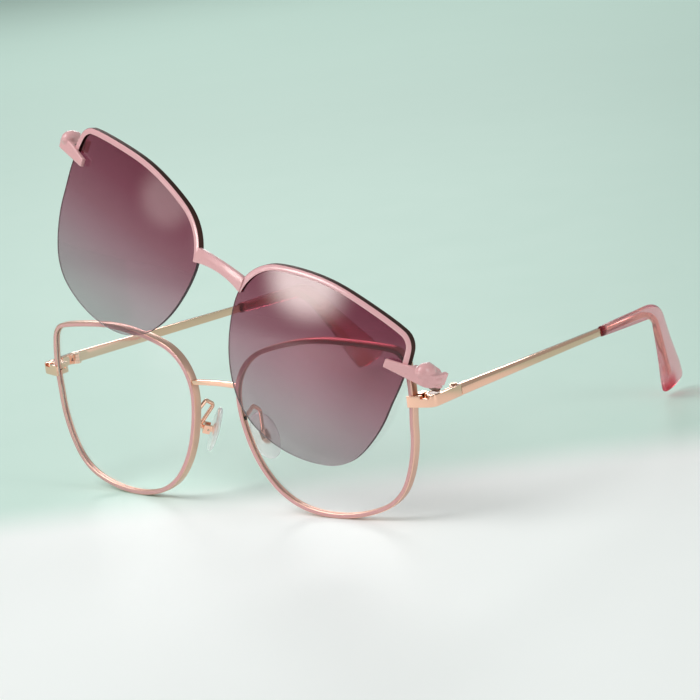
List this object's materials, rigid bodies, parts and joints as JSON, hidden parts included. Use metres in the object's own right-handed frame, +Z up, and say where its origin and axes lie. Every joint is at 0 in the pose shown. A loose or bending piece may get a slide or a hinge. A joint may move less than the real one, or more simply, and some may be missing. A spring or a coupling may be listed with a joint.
{
  "type": "magnetic clip-on eyeglasses",
  "caption": "Cat-eye metal optical frame with folding temples and a half-rim gradient sun clip held by magnets, one claw seated and the clip raised.",
  "frame": {"origin": "bottom centre of the bounding box, on the surface that the rims and temple tips rest on", "axes": "+X towards the wearer's left temple, -Y the way the wearer looks, +Z up"},
  "size_m": [0.1448, 0.1388, 0.1034],
  "materials": {
    "pink_lacquer": "gloss pink lacquer on plated metal",
    "gold_plate": "polished champagne gold plating",
    "clear_lens": "clear demo lens",
    "sun_lens": "gradient tinted lens, darker at the top",
    "clip_lacquer": "gloss pink lacquer",
    "magnet": "nickel plated",
    "screw_steel": "fine machined",
    "tip_plastic": "translucent rose plastic",
    "pad_silicone": "clear soft silicone"
  },
  "bodies": {
    "front": {"bridge": "gold_plate", "rim_left": "pink_lacquer", "rim_right": "pink_lacquer", "demo_lens_left": "clear_lens", "demo_lens_right": "clear_lens", "end_piece_left": "gold_plate", "end_piece_right": "gold_plate", "frame_magnet_left": "magnet", "frame_magnet_right": "magnet", "rim_lock_left": "gold_plate", "rim_lock_right": "gold_plate", "rim_lock_screw_left": "screw_steel", "rim_lock_screw_right": "screw_steel", "front_hinge_left": "gold_plate", "front_hinge_right": "gold_plate", "hinge_screw_left": "screw_steel", "hinge_screw_right": "screw_steel", "pad_arm_left": "gold_plate", "pad_arm_right": "gold_plate", "pad_box_left": "gold_plate", "pad_box_right": "gold_plate", "pad_screw_left": "screw_steel", "pad_screw_right": "screw_steel"},
    "clip": {"clip_bridge": "clip_lacquer", "brow_bar_left": "clip_lacquer", "brow_bar_right": "clip_lacquer", "clip_lens_left": "sun_lens", "clip_lens_right": "sun_lens", "claw_left": "clip_lacquer", "claw_right": "clip_lacquer", "clip_magnet_left": "magnet", "clip_magnet_right": "magnet"},
    "temple_left": {"temple_hinge_left": "gold_plate", "temple_bar_left": "gold_plate", "temple_tip_left": "tip_plastic"},
    "temple_right": {"temple_hinge_right": "gold_plate", "temple_bar_right": "gold_plate", "temple_tip_right": "tip_plastic"},
    "nose_pad_left": {"pad_insert_left": "gold_plate", "nose_pad_left": "pad_silicone"},
    "nose_pad_right": {"pad_insert_right": "gold_plate", "nose_pad_right": "pad_silicone"}
  },
  "joints": [
    {"name": "clip_swing", "type": "hinge", "parent": "front", "child": "clip", "pos_m": [0.06896, -0.057, 0.03513], "axis": [-0.26, 0.9651, -0.03], "range_deg": [-26.55, 13]},
    {"name": "temple_left_fold", "type": "hinge", "parent": "front", "child": "temple_left", "pos_m": [0.06716, -0.0485, 0.03353], "axis": [0, 0, 1], "range_deg": [0, 86]},
    {"name": "temple_right_fold", "type": "hinge", "parent": "front", "child": "temple_right", "pos_m": [-0.06993, -0.0485, 0.03353], "axis": [0, 0, -1], "range_deg": [0, 80]},
    {"name": "nose_pad_left_rock", "type": "hinge", "parent": "front", "child": "nose_pad_left", "pos_m": [0.0094, -0.05933, 0.01994], "axis": [-0.6825, -0.6897, -0.2419], "range_deg": [-10, 10]},
    {"name": "nose_pad_right_rock", "type": "hinge", "parent": "front", "child": "nose_pad_right", "pos_m": [-0.01217, -0.05933, 0.01994], "axis": [-0.6825, 0.6897, 0.2419], "range_deg": [-10, 10]}
  ]
}
